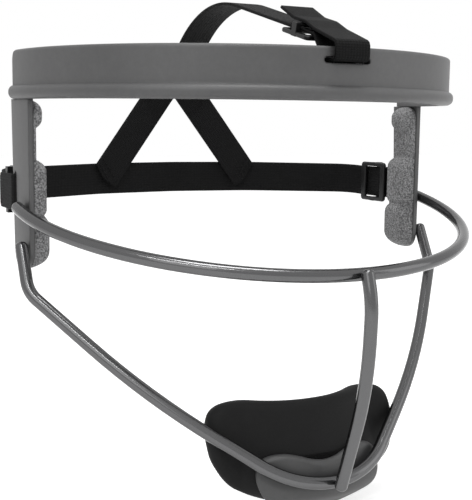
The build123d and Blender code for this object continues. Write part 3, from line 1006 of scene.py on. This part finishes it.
def closed_curve(half_outline, count):
    """Evenly numbered points on a smooth closed curve through an outline and its mirror image."""
    points = half_outline + [(-x, s) for x, s in reversed(half_outline[1:-1])]
    curve = []
    size = len(points)
    for index in range(count):
        place = index / count * size
        k, t = int(place), place - int(place)
        a, b, c, d = (Vector(points[(k + step) % size]) for step in (-1, 0, 1, 2))
        curve.append(0.5 * ((2 * b) + (c - a) * t + (2 * a - 5 * b + 4 * c - d) * t * t
                            + (3 * b - a - 3 * c + d) * t ** 3))
    return curve


def ringed_piece(name, rim, middle, ring_count, place, middle_depth, half_at, half_wall, material):
    """A closed skin: rings shrink a rim to its middle on both faces of a wall."""
    mesh = bmesh.new()

    def ring_of(ring, side):
        share = math.cos(ring / ring_count * math.pi / 2)
        vertices = []
        for spot in rim:
            here = Vector(middle).lerp(spot, share)
            depth = middle_depth + side * half_at((spot - here).length)
            vertices.append(mesh.verts.new(place(here.x, here.y, depth)))
        return vertices

    edge = ring_of(0, 1)
    for side in (1, -1):
        rings = [edge] + [ring_of(ring, side) for ring in range(1, ring_count)]
        for outer, inner in zip(rings, rings[1:]):
            for index in range(len(rim)):
                after = (index + 1) % len(rim)
                mesh.faces.new((outer[index], outer[after], inner[after], inner[index]))
        centre = mesh.verts.new(place(*middle, middle_depth + side * half_wall))
        for index in range(len(rim)):
            mesh.faces.new((rings[-1][index], rings[-1][(index + 1) % len(rim)], centre))
    return smooth_piece(name, mesh, material)


def cup_half(inside):
    """Half the foam's thickness at a distance inside the rim."""
    return cup_thick / 2 * ((1 - cup_doming) * swelling(inside, cup_roll)
                            + cup_doming * swelling(inside, cup_doming_roll))


chin_cup = ringed_piece("chin_pad_foam", closed_curve(cup_outline, cup_rim_points), cup_middle,
                        cup_rings, cup_at, cup_middle_depth, cup_half, cup_thick / 2, cup_finish)
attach(chin_cup, "guard")
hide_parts("chin_pad")
print("chin cup:", len(chin_cup.data.polygons), "faces")

# %% [markdown]
# ## Chin plate
#
# The plate is a thin moulding behind the lower wire. Its face follows the same bend as the cup, its
# top edge swells a little at each side of a shallow dip, and its rim is rounded all the way. The
# rings that draw the cup draw it too, with a harder rim and a wall of even thickness.

# %% Chin plate moulding
plate_section = [(45.8, -91.0), (56.2, -133.9), (45.9, -142.4), (32.5, -144.1)]
plate_radii = [6.5, 12.0]
plate_wall = 2.2
plate_edge_roll = 0.9
plate_least_radius = 36.0
plate_outline = [(0, 32.3), (5, 31.7), (10, 30.2), (15, 29.3), (20, 29.7), (23.5, 31.3),
                 (25.3, 34.5), (25.4, 38.3), (23.4, 42.9), (18.8, 47.3), (12.6, 51.2), (6.4, 54.0),
                 (0, 55.0)]
plate_middle = (0.0, 42.0)
plate_rim_points, plate_rings = 120, 18
plate_runs = {}


def plate_run(depth):
    """The plate's section at a depth inside its outside, worked out once for each depth."""
    key = round(depth, 2)
    if key not in plate_runs:
        radii = [radius - key for radius in plate_radii]
        plate_runs[key] = reader(bent_run(beside(plate_section, -key), radii))
    return plate_runs[key]


def plate_at(around, along, depth):
    """A point of the plate at a length round it, a length down its section and a depth."""
    length, read = plate_run(depth)
    middle_length, middle_read = plate_run(plate_wall / 2)
    spot, middle = read(along / middle_length * length)[0], middle_read(along)[0]
    turn = around / max(middle.x, plate_least_radius)
    return at(spot.x * math.sin(turn), jaw_axis - spot.x * math.cos(turn), spot.y)


def plate_half(inside):
    """Half the plate's thickness at a distance inside its rim."""
    return plate_wall / 2 * swelling(inside, plate_edge_roll)


chin_shell = ringed_piece("chin_plate_moulding", closed_curve(plate_outline, plate_rim_points),
                          plate_middle, plate_rings, plate_at, plate_wall / 2, plate_half,
                          plate_wall / 2, chin_shaded_finish)
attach(chin_shell, "guard")
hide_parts("chin_plate")
print("chin plate:", len(chin_shell.data.polygons), "faces")

# %% [markdown]
# ## The floor
#
# Everything above is dressed. What remains is the stage. A pale floor under the chin cup takes the
# guard's shadow. It glows a little for the rays that look at it and for no others, so it shows
# almost white and still lights nothing.

# %% Floor
white = (1.0, 1.0, 1.0, 1.0)
floor_glow = 0.66
floor_half_size = 3.0


def seen_rays(add):
    """1 for rays from the camera, a gloss or a clear surface, and 0 for the rest."""
    path = add("ShaderNodeLightPath").outputs
    either = add("ShaderNodeMath", {0: path["Is Camera Ray"], 1: path["Is Glossy Ray"]},
                 operation="MAXIMUM").outputs["Value"]
    return add("ShaderNodeMath", {0: either, 1: path["Is Transmission Ray"]},
               operation="MAXIMUM").outputs["Value"]


floor_finish, shader, add, drive = finish_named("pale_floor")
place = add("ShaderNodeTexCoord").outputs["Object"]
mottle = noise(add, place, 3.0, 3.0)
drive("Base Color", ramp_between(add, mottle, grey(0.90), grey(0.93)))
shader.inputs["Roughness"].default_value = 0.85
shader.inputs["Emission Color"].default_value = white
drive("Emission Strength", add("ShaderNodeMath", {0: seen_rays(add), 1: floor_glow},
                               operation="MULTIPLY").outputs["Value"])
mesh = bmesh.new()
bmesh.ops.create_grid(mesh, x_segments=2, y_segments=2, size=floor_half_size)
floor = new_piece("floor", mesh, floor_finish)
floor.location = (0, 0, cad_box[0].z)
print("floor lies at", round(floor.location.z / mm, 1), "mm")

# %% [markdown]
# ## Light
#
# Four soft boxes are enough: one overhead, a narrow strip beside it that draws the long streaks on
# the wires, one at the front left and a weaker one at the right. The surround adds an even light
# and shows white wherever the camera looks past the floor.

# %% Soft boxes and surround
def soft_box(name, place, aim, size, power):
    light = bpy.data.lights.new(name, "AREA")
    light.shape = "RECTANGLE"
    light.size, light.size_y = size
    light.energy = power
    holder = bpy.data.objects.new(name, light)
    bpy.context.scene.collection.objects.link(holder)
    holder.location = place
    holder.rotation_euler = (Vector(aim) - Vector(place)).to_track_quat("-Z", "Y").to_euler()
    return holder


subject = at(0, -20, -50)
soft_box("overhead", (0.0, -0.1, 0.95), subject, (0.5, 0.3), 5.4)
soft_box("strip", (-0.55, -0.55, 0.80), subject, (0.7, 0.05), 3.2)
soft_box("front_left", (-0.8, -0.75, 0.45), subject, (0.6, 0.6), 1.5)
soft_box("right", (0.9, -0.5, 0.25), subject, (0.5, 0.7), 1.2)

even_light = 0.32
seen_light = 1.0
world = bpy.data.worlds.new("surround")
bpy.context.scene.world = world
world.use_nodes = True
world.node_tree.nodes.clear()
add = node_maker(world.node_tree)
even = add("ShaderNodeBackground", {"Color": white, "Strength": even_light})
shown = add("ShaderNodeBackground", {"Color": white, "Strength": seen_light})
choose = add("ShaderNodeMixShader", {"Fac": seen_rays(add), 1: even.outputs["Background"],
                                     2: shown.outputs["Background"]})
add("ShaderNodeOutputWorld", {"Surface": choose.outputs["Shader"]})
print("four soft boxes and a white surround")

# %% [markdown]
# ## Camera
#
# The view is from the wearer's right and a little above, 0.39 m away: close, so the near side of
# the band looks larger than the far side. Turn, tilt and distance were found by laying the packed
# model's edges over the picture's.

# %% Camera
camera_yaw, camera_pitch, camera_roll = (math.radians(angle) for angle in (-27.5, 7.5, 0.7))
move_right, move_up, move_back = -2.0, -57.0, 387.8
focal_length, sensor_width = 72.0, 36.0
nearest, farthest = 0.01, 20.0
right = Vector((math.cos(camera_yaw), math.sin(camera_yaw), 0))
backward = Vector((math.sin(camera_yaw) * math.cos(camera_pitch),
                   -math.cos(camera_yaw) * math.cos(camera_pitch), math.sin(camera_pitch)))
upward = backward.cross(right)
right, upward = (right * math.cos(camera_roll) + upward * math.sin(camera_roll),
                 upward * math.cos(camera_roll) - right * math.sin(camera_roll))
stand = right * move_right + upward * move_up + backward * move_back
lens = bpy.data.cameras.new("camera")
lens.lens = focal_length
lens.sensor_width = sensor_width
lens.clip_start = nearest
lens.clip_end = farthest
camera = bpy.data.objects.new("camera", lens)
bpy.context.scene.collection.objects.link(camera)
pose = Matrix((right, upward, backward)).transposed().to_4x4()
pose.translation = at(*stand)
camera.matrix_world = pose
bpy.context.scene.camera = camera
print("camera stands at", [round(value / mm) for value in camera.matrix_world.translation])
